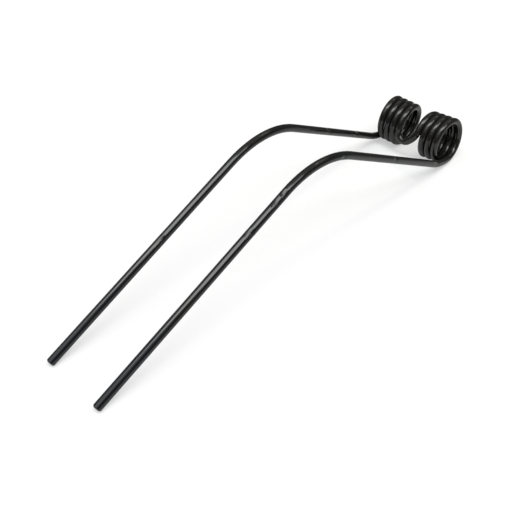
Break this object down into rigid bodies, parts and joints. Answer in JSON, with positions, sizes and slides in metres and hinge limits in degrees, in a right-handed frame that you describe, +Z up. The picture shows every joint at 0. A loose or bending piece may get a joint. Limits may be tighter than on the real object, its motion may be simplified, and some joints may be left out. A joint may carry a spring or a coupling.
{
  "type": "rotary rake tine",
  "caption": "Twin spring tine of one round wire: two close coils joined by a crossing bridge, each with a tangent arm that turns down at a knee into a long straight leg.",
  "frame": {"origin": "centre of the overall box, on the ground under the tine as it lies on its coils and leg heels", "axes": "+X along the coils, towards the right coil, +Y from the leg tips towards the coils, +Z up from the ground"},
  "size_m": [0.1086, 0.578, 0.122],
  "materials": {
    "black_paint": "semi-gloss"
  },
  "bodies": {
    "root": {"spring_tine": "black_paint"}
  },
  "joints": []
}
